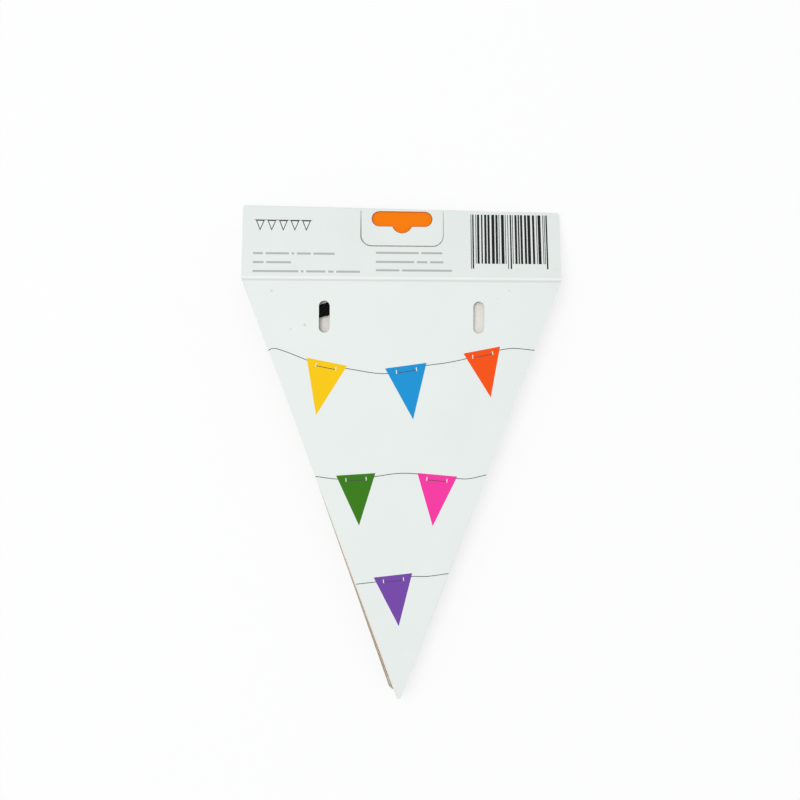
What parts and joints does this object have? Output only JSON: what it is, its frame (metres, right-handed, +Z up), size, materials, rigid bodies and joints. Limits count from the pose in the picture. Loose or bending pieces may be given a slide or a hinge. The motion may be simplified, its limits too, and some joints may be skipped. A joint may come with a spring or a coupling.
{
  "type": "bunting pennant hang pack",
  "caption": "Hang pack of triangular card pennants for bunting, in a folded white cover with string slots, a hang tab and a stored cord, lying back side up.",
  "frame": {"origin": "on the table, under the middle of the pack's outline", "axes": "+X to the right across the pack seen from its back, +Y from the tip to the top fold, +Z up out of the back panel"},
  "size_m": [0.13, 0.2012, 0.0178],
  "materials": {
    "cover_card": "smooth coated white card",
    "card_yellow": "smooth printed card with grey-brown cut edges",
    "card_blue": "smooth printed card with grey-brown cut edges",
    "card_orange": "smooth printed card with grey-brown cut edges",
    "card_green": "smooth printed card with grey-brown cut edges",
    "card_pink": "smooth printed card with grey-brown cut edges",
    "card_purple": "smooth printed card with grey-brown cut edges",
    "cord_black": "thin twisted cord",
    "band_paper": "matt paper"
  },
  "bodies": {
    "root": {"cover": "cover_card", "pennant_01": "card_yellow", "pennant_02": "card_blue", "pennant_03": "card_orange", "pennant_04": "card_green", "pennant_05": "card_pink", "pennant_06": "card_purple", "pennant_07": "card_yellow", "pennant_08": "card_blue", "pennant_09": "card_orange", "pennant_10": "card_green", "pennant_11": "card_pink", "pennant_12": "card_purple", "pennant_13": "card_yellow", "pennant_14": "card_blue", "pennant_15": "card_orange", "pennant_16": "card_green", "pennant_17": "card_pink", "pennant_18": "card_purple", "pennant_19": "card_yellow", "pennant_20": "card_blue", "pennant_21": "card_orange", "pennant_22": "card_green", "pennant_23": "card_pink", "pennant_24": "card_purple", "cord_hank": "cord_black", "cord_band": "band_paper"}
  },
  "joints": []
}
